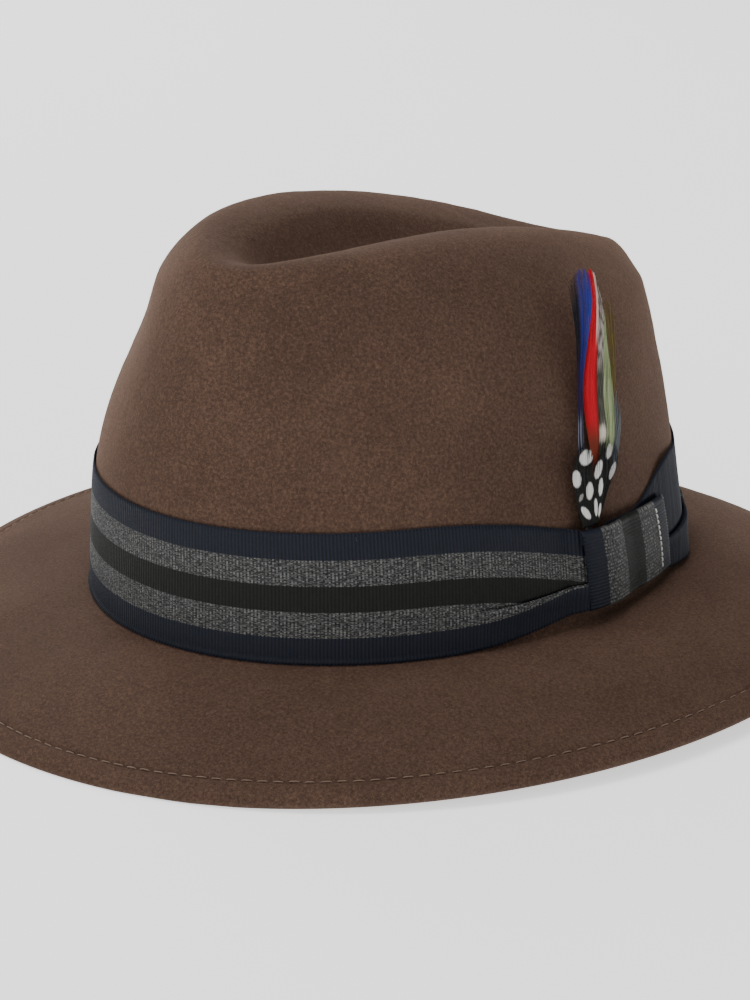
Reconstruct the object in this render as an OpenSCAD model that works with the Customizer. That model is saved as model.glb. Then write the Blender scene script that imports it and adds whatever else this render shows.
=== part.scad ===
// Wool felt fedora with a teardrop crown, a gathered striped ribbon band and a removable feather trim.
// Millimetres. The front of the hat looks along -Y and the wearer's left is +X. The origin is at the
// centre of the brim's outline, on the plane that the hat rests on.

/* [Head opening] */
// Width of the head oval, outside the felt at the brim break
head_w = 172; // [166:1:178]
// Length of the head oval, outside the felt at the brim break
head_l = 210; // [204:1:216]
// Thickness of the felt
felt_t = 2.4; // [2:0.1:2.8]

/* [Crown] */
// Height of the ridge round the dent, above the brim break
crown_h = 112; // [104:1:118]
// How far the ridge falls for each millimetre towards the back
ridge_fall = 0.125; // [0.08:0.005:0.14]
// How much the ridge bows down at the front
ridge_bow = 0.002; // [0.0015:0.0001:0.0022]
// How much the ridge bows down at the back
ridge_bow_back = 0.0016; // [0.0013:0.0001:0.0018]
// Depth of each front pinch
pinch_d = 5.5; // [2:0.5:8]
// Angle of each pinch from the front centre
pinch_t = 43; // [38:1:48]
// Angular half width of a pinch
pinch_w = 22; // [18:1:26]

/* [Brim] */
// Reach of the brim at the front
brim_front = 58; // [50:1:62]
// Reach of the brim at each side
brim_side = 61; // [52:1:64]
// Reach of the brim at the back
brim_back = 52; // [46:1:58]
// Drop of the brim's edge at the front and back
drop_end = 19.5; // [17:0.5:22]
// Drop of the brim's edge at the sides
drop_side = 13.5; // [10:0.5:16]
// Inside radius of the fold between crown and brim
break_r = 1.5; // [1:0.1:2]

/* [Turned edge] */
// Width of the felt that is turned under at the edge
welt_w = 8.5; // [7:0.5:10]
// Thickness of the turned layer
welt_t = 1.6; // [1.2:0.1:2]
// Distance between two edge stitches
stitch_pitch = 4.7; // [4:0.1:6]
// Length of one edge stitch
stitch_l = 3.2; // [2.4:0.1:3.6]
// Thread diameter of the edge stitches
stitch_d = 0.45; // [0.3:0.05:0.6]

/* [Ribbon band] */
// Width of the ribbon
ribbon_w = 40; // [38:0.5:42]
// Thickness of the gathered ribbon
ribbon_t = 0.8; // [0.6:0.1:1]
// Height of the ribbon's lower edge above the brim break
band_z = 1; // [0.8:0.1:1.6]
// How far the upper edge comes down at the keeper
gather_top = 11; // [10.5:0.5:13]
// How far the lower edge goes up at the keeper
gather_low = 5; // [4:0.5:6]
// How far the loose fan behind the keeper stands off the felt
fan_d = 3; // [1:0.5:4]

/* [Keeper] */
// Angle of the keeper's front edge, from the wearer's left towards the back
keeper_from = -7.5; // [-8:0.5:-7]
// Angle of the keeper's back edge
keeper_to = 20; // [17:0.5:20.5]
// Height of the keeper's loop
keeper_h = 26; // [25.5:0.5:28]
// Thickness of the keeper's ribbon
keeper_t = 0.6; // [0.5:0.1:0.8]
// Depth of the pocket between felt and keeper that holds the quills
pocket_d = 3.1; // [2.8:0.1:3.6]

/* [Sweatband and lining] */
// Height of the leather sweatband
sweat_h = 38; // [34:1:42]
// Thickness of the leather
sweat_t = 1; // [0.8:0.1:1.2]
// Diameter of the reed in the sweatband's lower edge
reed_d = 2; // [1.6:0.1:2.2]
// Thickness of the lining
lining_t = 0.3; // [0.3:0.1:0.4]
// How far the lining's tip panel sags in the middle
tip_sag = 3; // [1:0.5:5]

/* [Feather trim] */
// Diameter of the bound quills
quill_d = 2; // [1.8:0.1:2.2]
// Length of the bound quills
quill_l = 18; // [16:0.5:19]
// Thickness of one feather
vane_t = 0.3; // [0.2:0.05:0.3]
// Step from one feather to the next one outside it
vane_step = 0.36; // [0.35:0.01:0.4]

/* [Hidden] */

// Each ring of the crown, from the brim break up over the ridge and down into the dent: half width,
// front reach and back reach as shares of the head oval, height as a share of crown_h, how much the
// ring follows the ridge's fall, and how square its front and back are (2 is an ellipse).
RINGS = [
    [1.00, 1.00, 1.00, 0.000, 0.0, 2.00, 2.00],
    [0.99, 0.99, 0.99, 0.205, 0.0, 2.00, 1.95],
    [0.96, 0.98, 0.96, 0.395, 0.0, 2.00, 1.95],
    [0.91, 0.93, 0.92, 0.605, 0.1, 2.00, 1.93],
    [0.83, 0.87, 0.895, 0.770, 0.35, 2.00, 2.12],
    [0.70, 0.81, 0.89, 0.895, 0.75, 2.00, 2.50],
    [0.49, 0.74, 0.86, 1.000, 0.95, 1.95, 2.76],
    [0.28, 0.64, 0.70, 0.980, 1.15, 2.00, 2.58],
    [0.15, 0.48, 0.51, 0.875, 0.9, 2.00, 2.20],
    [0.04, 0.32, 0.32, 0.820, 0.6, 2.00, 2.00]];
last_ring = len(RINGS) - 1;
// Ring position of the pinches' deepest place, and their half width in rings
pinch_u = 3.75;
pinch_uw = 1.1;
// Share of the brim's drop that is straight; the rest curves
drop_line = 0.45;

// Where the crown's centre and the brim break stand in the part's frame
crown_y = (brim_front - brim_back) / 2;
break_z = 20.9;
// Half thickness of the turned edge, the width of its flat resting strip, and the slant of its raw edge
nose_r = (felt_t + welt_t) / 2;
rest_w = 1.2;
welt_step = 0.2;
// How far the edge stitches lie inside the turned layer's raw edge, and their middle above the felt
stitch_inset = 1;
stitch_lift = 0.27;

// Columns round the hat, and the rows of the felt's profile
felt_columns = 72;
band_columns = 144;
outer_rows = [9, 8.5, 8, 7.6, 7.2, 6.8, 6.4, 6, 5.6, 5.2, 4.7, 4.2, 3.7, 3.2, 2.7, 2.1, 1.4, 0.7, 0.2];
inner_rows = [0.2, 0.8, 1.6, 2.2, 2.7, 3.2, 3.7, 4.2, 4.7, 5.2, 5.7, 6.2, 6.7, 7.2, 7.8, 8.4, 9];
brim_rows = [0.1, 0.3, 0.5, 0.7, 0.85];
nose_rows = [50, 15, -20, -55];
band_rows = [0, 0.33, 0.67, 1];

// Gaps that keep neighbouring layers apart
skin_gap = 0.25;
lining_gap = 0.15;
sweat_gap = 0.8;
// Angular widths of the gather, the pocket and the fan
gather_reach = 30;
fan_reach = 10;
fan_t = 33;
fan_w = 10;
fan_start = 2;
keeper_reach = 4;
pocket_t = -5;
pocket_flat = 3.5;
pocket_fall = 6;

// Small pieces
tack_d = 0.4;
tack_l = 2;
tack_lift = 0.4;
tack_angles = [60, 110, 160, 210, 260, 310];
pick_l = 1.6;
pick_d = 0.5;
pick_count = 11;
pick_inset = 2.2;
pick_margin = 3.5;
seam_stitch_pitch = 5;
seam_stitch_l = 3;
seam_stitch_d = 0.4;
seam_z = 3;
sweat_heights = [0.8, 8, 16, 24, 31, sweat_h];
reed_drop = 0.3;
bow_angle = 8;
bow_h = 7;
bow_t = 1.6;
// Where the bow's outline has its stations: place along its half width, share of its height, share
// of its thickness
bow_shape = [[-1, 1, 0.5], [-0.6, 0.68, 0.5], [-0.3, 0.44, 0.5], [-0.15, 0.5, 1], [0, 0.5, 1],
    [0.15, 0.5, 1], [0.3, 0.44, 0.5], [0.6, 0.68, 0.5], [1, 1, 0.5]];
tag_angle = 10;
tag_z = 17;
tag_h = 9;
tag_t = 0.3;

// Rows of the lining, the shares of its tip panel, and where the tip panel's middle would be if it
// didn't sag, as a share of crown_h
lining_rows = [1.6, 2.2, 2.7, 3.2, 3.7];
tip_shares = [0.3, 0.6, 0.8, 1];
tip_level = 0.735;

// Line that the quills follow, from the bottom of the pocket to the top of the tallest feather
quill_foot = [87.2, -8.9, 14];
quill_top = [77.5, -4.5, 106];
// The wrapped collar on top of the quills: height, inner face and half width; and its gap to the feathers
collar_h = 1.4;
collar_x = 0.9;
collar_w = 1.2;
collar_gap = 0.02;
// Shape of a feather: share of its width at the foot, and how blunt its tip is
vane_foot = 0.16;
vane_tip = 0.7;
vane_steps = 12;

// Each feather: layer, sideways start, lean in degrees, start height, length, width, place of the
// widest point along its length
BLUE = [5, -0.3, -2.4, 0, 72, 6.0, 0.60];
RED = [4, 0.1, 2.2, 0, 74, 6.0, 0.50];
GRIZZLY = [3, 0.2, 7.0, 0, 62, 4.5, 0.60];
GREEN = [2, 0.3, 10.0, 0, 56, 6.0, 0.50];
OLIVE = [1, 0.4, 12.5, 0, 61, 4.5, 0.60];
TEAL = [0, 0.5, 17.0, 2, 35, 8.0, 0.60];
GUINEA_FRONT = [7, 0.2, 1.0, 0, 26, 14.5, 0.60];
GUINEA_SIDE = [6, 0.6, 24.0, 0, 25, 9.0, 0.60];

brown = [0.27, 0.17, 0.12];
navy = [0.10, 0.12, 0.19];
grey = [0.36, 0.36, 0.36];
cream = [0.93, 0.91, 0.86];

// ---- General functions ----
function ease(x) = let (c = min(1, max(0, x))) c * c * (3 - 2 * c);
function turn_gap(a, b) = abs((a - b + 900) % 360 - 180);
function unit(v) = v / norm(v);
function columns(n) = [for (i = [0:n - 1]) 360 * i / n];
function place(p) = [p[0], p[1] + crown_y, max(0, p[2] + break_z)];
function flat(rows) = [for (row = rows) for (p = row) p];

// ---- Crown and brim surfaces, with the brim break's centre at zero ----
function outward(t) = unit([cos(t) / head_w, sin(t) / head_l, 0]);
function blend4(a, b, c, d, f) = 0.5 * (2 * b + (c - a) * f + (2 * a - 5 * b + 4 * c - d) * f * f
    + (3 * b - a - 3 * c + d) * f * f * f);
function ring_at(u) = let (i = min(floor(u), last_ring - 1))
    blend4(RINGS[max(i - 1, 0)], RINGS[i], RINGS[i + 1], RINGS[min(i + 2, last_ring)], u - i);
function bell(x) = exp(-x * x);
function pinch(t, u) = pinch_d * bell((u - pinch_u) / pinch_uw)
    * (bell(turn_gap(t, -90 + pinch_t) / pinch_w) + bell(turn_gap(t, -90 - pinch_t) / pinch_w));
function crown_point(t, u) = let (
    r = ring_at(u), c = cos(t), s = sin(t),
    reach = s < 0 ? r[1] : r[2],
    square = 2 + ((s < 0 ? r[5] : r[6]) - 2) * abs(s),
    x = sign(c) * pow(abs(c), 2 / square) * r[0] * head_w / 2,
    y = sign(s) * pow(abs(s), 2 / square) * reach * head_l / 2,
    z = r[3] * crown_h - r[4] * (ridge_fall * y + (s < 0 ? ridge_bow : ridge_bow_back) * y * y)
) [x, y, z] - pinch(t, u) * outward(t);
function crown_normal(t, u) = unit(cross(crown_point(t + 1, u) - crown_point(t - 1, u),
    crown_point(t, min(u + 0.1, last_ring)) - crown_point(t, max(u - 0.1, 0))));
function crown_inside(t, u, depth) = crown_point(t, u) - depth * crown_normal(t, u);
function wall_ring(z) = lookup(z / crown_h, [for (i = [0:3]) [RINGS[i][3], i]]);
function wall_point(t, z, off) = let (p = crown_point(t, wall_ring(z)) + off * outward(t)) [p[0], p[1], z];

function brim_reach(t) = brim_side * pow(cos(t), 2) + (sin(t) < 0 ? brim_front : brim_back) * pow(sin(t), 2);
function brim_drop(t) = drop_side * pow(cos(t), 2) + drop_end * pow(sin(t), 2);
function brim_point(t, w) = [
    (head_w / 2 + brim_reach(t) * w) * cos(t),
    (head_l / 2 + brim_reach(t) * w) * sin(t),
    -brim_drop(t) * (drop_line * w + (1 - drop_line) * w * w)];
function brim_out(t, w) = unit(brim_point(t, w + 0.01) - brim_point(t, w - 0.01));
function brim_normal(t, w) = unit(cross(brim_out(t, w), brim_point(t + 1, w) - brim_point(t - 1, w)));
function brim_under(t, w, depth) = brim_point(t, w) - depth * brim_normal(t, w);
function from_edge(t, d) = 1 - d / brim_reach(t);
function break_point(t, a, depth) = brim_point(t, break_r * (1 - cos(a)) / brim_reach(t))
    + [0, 0, break_r * (1 - sin(a))] - depth * (cos(a) * outward(t) + [0, 0, sin(a)]);
function nose_point(t, b) = let (w = from_edge(t, nose_r))
    brim_under(t, w, nose_r) + nose_r * (sin(b) * brim_normal(t, w) + cos(b) * brim_out(t, w));

// ---- Solids from rings of points ----
// Rows of points, from a centre on the outside to a centre on the inside
module capped_loft(rows, first, last) {
    n = len(rows[0]);
    m = len(rows);
    polyhedron(
        points = concat(flat(rows), [first, last]),
        faces = concat(
            [for (j = [0:m - 2]) for (i = [0:n - 1]) let (k = (i + 1) % n)
                [j * n + i, j * n + k, (j + 1) * n + k]],
            [for (j = [0:m - 2]) for (i = [0:n - 1]) let (k = (i + 1) % n)
                [j * n + i, (j + 1) * n + k, (j + 1) * n + i]],
            [for (i = [0:n - 1]) [m * n, (i + 1) % n, i]],
            [for (i = [0:n - 1]) [m * n + 1, (m - 1) * n + i, (m - 1) * n + (i + 1) % n]]));
}

// Closed outlines, one after another round a closed ring
module ring_loft(sections) {
    n = len(sections[0]);
    m = len(sections);
    polyhedron(
        points = flat(sections),
        faces = [for (j = [0:m - 1]) for (i = [0:n - 1])
            let (k = (i + 1) % n, q = (j + 1) % m)
            each [[j * n + i, j * n + k, q * n + k], [j * n + i, q * n + k, q * n + i]]]);
}

// A short straight thread from point a to point b
module thread(a, b, d) {
    v = b - a;
    translate(a)
        rotate([0, acos(v[2] / norm(v)), atan2(v[1], v[0])])
            cylinder(h = norm(v), d = d, $fn = 16);
}

// ---- Felt ----
module felt_body() {
    ts = columns(felt_columns);
    rows = concat(
        [for (u = outer_rows) [for (t = ts) place(crown_point(t, u))]],
        [for (a = [0, 45, 90]) [for (t = ts) place(break_point(t, a, 0))]],
        [for (w = brim_rows) [for (t = ts) place(brim_point(t, w))]],
        [[for (t = ts) place(brim_point(t, from_edge(t, nose_r)))]],
        [for (b = nose_rows) [for (t = ts) place(nose_point(t, b))]],
        [for (d = [nose_r, nose_r + rest_w, welt_w])
            [for (t = ts) place(brim_under(t, from_edge(t, d), felt_t + welt_t))]],
        [[for (t = ts) place(brim_under(t, from_edge(t, welt_w + welt_step), felt_t))]],
        [for (i = [len(brim_rows) - 2:-1:0]) [for (t = ts) place(brim_under(t, brim_rows[i], felt_t))]],
        [for (a = [90, 45, 0]) [for (t = ts) place(break_point(t, a, felt_t))]],
        [for (u = inner_rows) [for (t = ts) place(crown_inside(t, u, felt_t))]]);
    dent = [0, 0, RINGS[last_ring][3] * crown_h];
    color(brown)
        capped_loft(rows, place(dent), place(dent - [0, 0, felt_t]));
}

module brim_edge_stitching() {
    d = welt_w - stitch_inset;
    length = 2 * PI * ((head_w + head_l) / 4 + brim_side - d);
    count = round(length / stitch_pitch);
    color([0.55, 0.42, 0.30])
        for (i = [0:count - 1]) {
            t = 360 * i / count;
            w = from_edge(t, d);
            step = 180 * stitch_l / length;
            thread(
                place(brim_under(t - step, from_edge(t - step, d), -stitch_lift)),
                place(brim_under(t + step, from_edge(t + step, d), -stitch_lift)),
                stitch_d);
        }
}

// ---- Ribbon band ----
// 1 at the keeper, falling to 0 in front of it and behind it
function gather(t) = let (s = t > 180 ? t - 360 : t)
    s < keeper_from ? ease(1 - (keeper_from - s) / gather_reach)
    : s > keeper_to + fan_start ? ease(1 - (s - keeper_to - fan_start) / fan_reach) : 1;
function pocket(t) = pocket_d * ease(1 - (turn_gap(t, pocket_t) - pocket_flat) / pocket_fall);
function in_keeper(t) = let (s = t > 180 ? t - 360 : t, middle = (keeper_from + keeper_to) / 2)
    ease(1 - (abs(s - middle) - (keeper_to - keeper_from) / 2) / keeper_reach);
function strap_back(t) = skin_gap + pocket(t);
function band_back(t) = strap_back(t) + (keeper_t + skin_gap) * in_keeper(t);
function band_low(t) = band_z + gather_low * gather(t);
function band_top(t) = band_z + ribbon_w - gather_top * gather(t);
function fan(t, h) = fan_d * ease(1 - turn_gap(t, fan_t) / fan_w) * (1 - h);
function band_point(t, h, depth) = place(wall_point(t, band_low(t) + h * (band_top(t) - band_low(t)),
    band_back(t) + fan(t, h) + depth));

module hat_band() {
    color(navy)
        ring_loft([for (t = columns(band_columns)) concat(
            [for (h = band_rows) band_point(t, h, ribbon_t)],
            [for (i = [len(band_rows) - 1:-1:0]) band_point(t, band_rows[i], 0)])]);
}

module hat_band_tacks() {
    color(navy)
        for (t = tack_angles) {
            start = place(wall_point(t, band_top(t) + tack_lift, skin_gap));
            thread(start, start + tack_l * outward(t) / 2, tack_d);
        }
}

// ---- Keeper: the same ribbon, wrapped once round the gathered band ----
keeper_mid_z = band_z + (gather_low + ribbon_w - gather_top) / 2;
keeper_outside = keeper_t + ribbon_t + 2 * skin_gap;
function keeper_ring(t, a, grow) = let (
    deep = (keeper_outside + keeper_t) / 2,
    z = keeper_mid_z + (keeper_h / 2 + grow) * sign(sin(a)) * pow(abs(sin(a)), 0.25),
    off = strap_back(t) + deep + (deep + grow) * sign(cos(a)) * pow(abs(cos(a)), 0.25)
) place(wall_point(t, z, off));

module bow_keeper() {
    step = 360 / band_columns;
    inner = [for (i = [ceil(keeper_from / step + 0.1):floor(keeper_to / step - 0.1)]) i * step];
    ts = concat([keeper_from], inner, [keeper_to]);
    color(grey)
        ring_loft([for (a = [0:15:345]) concat(
            [for (t = ts) keeper_ring(t, a, 0)],
            [for (i = [len(ts) - 1:-1:0]) keeper_ring(ts[i], a, -keeper_t)])]);
}

module keeper_edge_stitching() {
    t = keeper_to - pick_inset;
    color(cream)
        for (i = [0:pick_count - 1]) {
            z = keeper_mid_z + (i / (pick_count - 1) - 0.5) * (keeper_h - 2 * pick_margin);
            off = strap_back(t) + keeper_outside + keeper_t + pick_d;
            half = [0, 0, pick_l / 2];
            thread(place(wall_point(t, z, off) - half), place(wall_point(t, z, off) + half), pick_d);
        }
}

// ---- Sweatband ----
function sweat_point(t, z, depth) = place(wall_point(t, z, -felt_t - sweat_gap - depth));

module sweatband() {
    color([0.30, 0.19, 0.12])
        ring_loft([for (t = columns(felt_columns)) concat(
            [for (z = sweat_heights) sweat_point(t, z, 0)],
            [for (i = [len(sweat_heights) - 1:-1:0]) sweat_point(t, sweat_heights[i], sweat_t)])]);
}

module sweatband_reed() {
    color([0.22, 0.14, 0.09])
        ring_loft([for (t = columns(felt_columns)) [for (a = [0:60:300])
            sweat_point(t, 0, sweat_t / 2) + reed_d / 2 * (cos(a) * outward(t) + [0, 0, sin(a)])
                - [0, 0, reed_drop]]]);
}

module sweatband_stitching() {
    count = round(PI * (head_w + head_l) / 2 / seam_stitch_pitch);
    step = 360 / count * seam_stitch_l / seam_stitch_pitch / 2;
    depth = sweat_t + seam_stitch_d;
    color(cream)
        for (i = [0:count - 1]) {
            t = 360 * i / count;
            thread(sweat_point(t - step, seam_z, depth), sweat_point(t + step, seam_z, depth), seam_stitch_d);
        }
}

// A patch that lies on the inside of the sweatband, from one angle to the next: [angle from the back
// centre, half height, thickness]
module sweat_patch(z, stations) {
    n = len(stations);
    back = sweat_t + skin_gap;
    sections = [for (s = stations) [
        sweat_point(90 + s[0], z - s[1], back),
        sweat_point(90 + s[0], z + s[1], back),
        sweat_point(90 + s[0], z + s[1], back + s[2]),
        sweat_point(90 + s[0], z - s[1], back + s[2])]];
    polyhedron(
        points = flat(sections),
        faces = concat(
            [[3, 2, 1, 0], [for (k = [0:3]) 4 * (n - 1) + k]],
            [for (j = [0:n - 2]) for (i = [0:3]) let (k = (i + 1) % 4)
                each [[j * 4 + i, j * 4 + k, (j + 1) * 4 + k], [j * 4 + i, (j + 1) * 4 + k, (j + 1) * 4 + i]]]));
}

// A flat bow of two loops and a knot, at the back of the sweatband
module sweatband_rear_bow() {
    color([0.12, 0.09, 0.08])
        sweat_patch(sweat_h - bow_h, [for (s = bow_shape) [s[0] * bow_angle, s[1] * bow_h / 2, s[2] * bow_t]]);
}

module size_tag() {
    color(cream)
        sweat_patch(tag_z, [for (s = [-1:0.5:1]) [s * tag_angle, tag_h / 2, tag_t]]);
}

// ---- Lining ----
module lining_side() {
    color([0.24, 0.20, 0.17])
        ring_loft([for (t = columns(felt_columns)) concat(
            [for (u = lining_rows) place(crown_inside(t, u, felt_t + lining_gap))],
            [for (i = [len(lining_rows) - 1:-1:0])
                place(crown_inside(t, lining_rows[i], felt_t + lining_gap + lining_t))])]);
}

function tip_point(t, w, z) = let (
    e = crown_inside(t, lining_rows[len(lining_rows) - 1], felt_t + 3 * lining_gap + lining_t)
) place([e[0] * w, e[1] * w, e[2] * w * w + (tip_level * crown_h - tip_sag) * (1 - w * w) + z]);

module lining_tip() {
    ts = columns(felt_columns);
    middle = tip_point(0, 0, 0);
    color([0.24, 0.20, 0.17])
        capped_loft(concat(
            [for (w = tip_shares) [for (t = ts) tip_point(t, w, 0)]],
            [for (i = [len(tip_shares) - 1:-1:0]) [for (t = ts) tip_point(t, tip_shares[i], -lining_t)]]),
            middle, middle - [0, 0, lining_t]);
}

// ---- Feather trim ----
quill_axis = unit(quill_top - quill_foot);

// Puts its children on the quills' line: Z runs up the line, X away from the crown, Y to the back
module on_quills(height) {
    side = unit(cross(quill_axis, [1, 0, 0]));
    out = cross(side, quill_axis);
    translate(place(quill_foot) + height * quill_axis)
        multmatrix([
            [out[0], side[0], quill_axis[0], 0],
            [out[1], side[1], quill_axis[1], 0],
            [out[2], side[2], quill_axis[2], 0]])
            children();
}

module feather_binding() {
    color([0.15, 0.13, 0.12])
        on_quills(0)
            union() {
                cylinder(h = quill_l, d = quill_d, $fn = 32);
                translate([-collar_x, -collar_w, quill_l])
                    cube([collar_x + 8 * vane_step, 2 * collar_w, collar_h]);
            }
}

// Half width of a feather at share s of its length
function vane_half(s, width, widest) = width / 2 * (s < widest
    ? vane_foot + (1 - vane_foot) * sin(90 * s / widest)
    : pow(max(0, cos(90 * (s - widest) / (1 - widest))), vane_tip));

module feather(f, tint) {
    shares = [for (i = [0:vane_steps]) i / vane_steps];
    color(tint)
        on_quills(quill_l + collar_h + collar_gap + f[3])
            translate([-collar_x + f[0] * vane_step, f[1], 0])
                rotate([-f[2], 0, 0])
                    rotate([90, 0, 90])
                        linear_extrude(vane_t)
                            polygon(concat(
                                [for (s = shares) [vane_half(s, f[5], f[6]), s * f[4]]],
                                [for (i = [vane_steps - 1:-1:0])
                                    [-vane_half(shares[i], f[5], f[6]), shares[i] * f[4]]]));
}

module blue_feather() { feather(BLUE, [0.13, 0.13, 0.45]); }
module red_feather() { feather(RED, [0.70, 0.08, 0.12]); }
module grizzly_feather() { feather(GRIZZLY, [0.70, 0.66, 0.62]); }
module green_feather() { feather(GREEN, [0.42, 0.45, 0.33]); }
module olive_feather() { feather(OLIVE, [0.36, 0.33, 0.14]); }
module teal_feather() { feather(TEAL, [0.20, 0.28, 0.30]); }
module guinea_feather_front() { feather(GUINEA_FRONT, [0.05, 0.05, 0.05]); }
module guinea_feather_side() { feather(GUINEA_SIDE, [0.08, 0.08, 0.08]); }

felt_body();
brim_edge_stitching();
hat_band();
hat_band_tacks();
bow_keeper();
keeper_edge_stitching();
sweatband();
sweatband_reed();
sweatband_stitching();
sweatband_rear_bow();
size_tag();
lining_side();
lining_tip();
feather_binding();
blue_feather();
red_feather();
grizzly_feather();
green_feather();
olive_feather();
teal_feather();
guinea_feather_front();
guinea_feather_side();
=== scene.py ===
import math

import bmesh
import bpy
import numpy as np
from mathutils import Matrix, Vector, noise


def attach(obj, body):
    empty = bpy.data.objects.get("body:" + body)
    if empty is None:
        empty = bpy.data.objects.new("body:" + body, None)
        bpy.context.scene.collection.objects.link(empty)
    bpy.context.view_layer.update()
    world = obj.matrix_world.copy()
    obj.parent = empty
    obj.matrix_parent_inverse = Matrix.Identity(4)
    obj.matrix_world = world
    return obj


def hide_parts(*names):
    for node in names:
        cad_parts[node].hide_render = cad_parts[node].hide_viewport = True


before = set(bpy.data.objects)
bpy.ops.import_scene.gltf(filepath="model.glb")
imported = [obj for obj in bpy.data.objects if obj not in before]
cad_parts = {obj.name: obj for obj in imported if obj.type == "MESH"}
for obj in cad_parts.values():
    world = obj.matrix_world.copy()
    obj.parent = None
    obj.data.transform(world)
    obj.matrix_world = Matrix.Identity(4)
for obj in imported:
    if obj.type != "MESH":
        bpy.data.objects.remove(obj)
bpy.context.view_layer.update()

# All shapes are worked out in millimetres, in the frame of the CAD model, and written in metres.
MM = 0.001
scene = bpy.context.scene
TAU = 2 * math.pi
UP = np.array([0, 0, 1.0])
join = np.concatenate


# ---- shape of the hat
# Head oval, felt thickness, crown height, fall and bow of its ridge
HEAD_W, HEAD_L, FELT = 172.0, 210.0, 2.4
CROWN_H, RIDGE_FALL, RIDGE_BOW, RIDGE_BOW_BACK = 112.0, 0.125, 0.002, 0.0016
# Front pinches: depth, angle from the front, half width, ring, half height in rings
PINCH_D, PINCH_T, PINCH_W, PINCH_U, PINCH_UW = 5.5, 43.0, 22.0, 3.75, 1.1
# Brim: reach, drop and its straight share, fold at the root, turned-under edge
BRIM_FRONT, BRIM_SIDE, BRIM_BACK = 58.0, 61.0, 52.0
DROP_END, DROP_SIDE, DROP_LINE = 19.5, 13.5, 0.45
BREAK_R, WELT_W, WELT_T = 1.5, 8.5, 1.6
NOSE_R = (FELT + WELT_T) / 2
CROWN_Y, BREAK_Z = (BRIM_FRONT - BRIM_BACK) / 2, 20.9
RIBBON_W, RIB = 40.2, 1.1
SWEAT_H = 38.0

# Rings of the crown from its foot to the middle of the dent, as shares of the head and crown: half width,
# reach to the front and the back, height, how far it follows the ridge's fall, squareness front and back
RINGS = np.array([
    [1.00, 1.00, 1.00, 0.000, 0.0, 2.00, 2.00],
    [0.99, 0.99, 0.99, 0.205, 0.0, 2.00, 1.95],
    [0.96, 0.98, 0.96, 0.395, 0.0, 2.00, 1.95],
    [0.91, 0.93, 0.92, 0.605, 0.1, 2.00, 1.93],
    [0.83, 0.87, 0.895, 0.770, 0.35, 2.00, 2.12],
    [0.70, 0.81, 0.89, 0.895, 0.75, 2.00, 2.50],
    [0.49, 0.74, 0.86, 1.000, 0.95, 1.95, 2.76],
    [0.28, 0.64, 0.70, 0.980, 1.15, 2.00, 2.58],
    [0.15, 0.48, 0.51, 0.875, 0.9, 2.00, 2.20],
    [0.04, 0.32, 0.32, 0.820, 0.6, 2.00, 2.00]])
LAST = len(RINGS) - 1


def ease(x):
    c = np.clip(x, 0.0, 1.0)
    return c * c * (3 - 2 * c)


def angles(count):
    return np.arange(count) * 360.0 / count


def bell(x, at, width):
    return np.exp(-((x - at) / width) ** 2)


def gap(a, b):
    return np.abs((a - b + 900) % 360 - 180)


def unit(v):
    return v / np.maximum(np.linalg.norm(v, axis=-1, keepdims=True), 1e-9)


def wave(t):
    return np.cos(np.radians(t)), np.sin(np.radians(t))


def spline(x, table):
    """Smooth curve through given points, flat beyond both ends."""
    p = np.array(table, float)
    xs, ys = p[:, 0], p[:, 1]
    m = np.gradient(ys, xs)
    m[0] = m[-1] = 0
    x = np.clip(x, xs[0], xs[-1])
    i = np.clip(np.searchsorted(xs, x, side="right") - 1, 0, len(xs) - 2)
    h = xs[i + 1] - xs[i]
    f = (x - xs[i]) / h
    return ((2 * f**3 - 3 * f**2 + 1) * ys[i] + (f**3 - 2 * f**2 + f) * h * m[i]
            + (3 * f**2 - 2 * f**3) * ys[i + 1] + (f**3 - f**2) * h * m[i + 1])


def outward(t):
    c, s = wave(t)
    return unit(np.stack([c / HEAD_W, s / HEAD_L, 0 * c], -1))


def ring_at(u):
    i = np.minimum(np.floor(u).astype(int), LAST - 1)
    a, b, c, d = RINGS[np.maximum(i - 1, 0)], RINGS[i], RINGS[i + 1], RINGS[np.minimum(i + 2, LAST)]
    f = (u - i)[..., None]
    return 0.5 * (2 * b + (c - a) * f + (2 * a - 5 * b + 4 * c - d) * f**2 + (3 * b - a - 3 * c + d) * f**3)


def pinch(t, u):
    side = bell(gap(t, -90 + PINCH_T), 0, PINCH_W) + bell(gap(t, -90 - PINCH_T), 0, PINCH_W)
    return PINCH_D * bell(u, PINCH_U, PINCH_UW) * side


def crown_point(t, u):
    """t: degrees from the wearer's left, -90 at the front. u: place among the rings."""
    t, u = np.broadcast_arrays(np.asarray(t, float), np.asarray(u, float))
    r = ring_at(u)
    c, s = wave(t)
    front = s < 0
    reach = np.where(front, r[..., 1], r[..., 2])
    square = 2 + (np.where(front, r[..., 5], r[..., 6]) - 2) * np.abs(s)
    x = np.sign(c) * np.abs(c) ** (2 / square) * r[..., 0] * HEAD_W / 2
    y = np.sign(s) * np.abs(s) ** (2 / square) * reach * HEAD_L / 2
    bow = np.where(front, RIDGE_BOW, RIDGE_BOW_BACK)
    z = r[..., 3] * CROWN_H - r[..., 4] * (RIDGE_FALL * y + bow * y * y)
    return np.stack([x, y, z], -1) - pinch(t, u)[..., None] * outward(t)


def crown_inside(t, u, depth):
    along = crown_point(t + 1, u) - crown_point(t - 1, u)
    up = crown_point(t, np.minimum(u + 0.1, LAST)) - crown_point(t, np.maximum(u - 0.1, 0))
    return crown_point(t, u) - np.asarray(depth, float)[..., None] * unit(np.cross(along, up))


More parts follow.
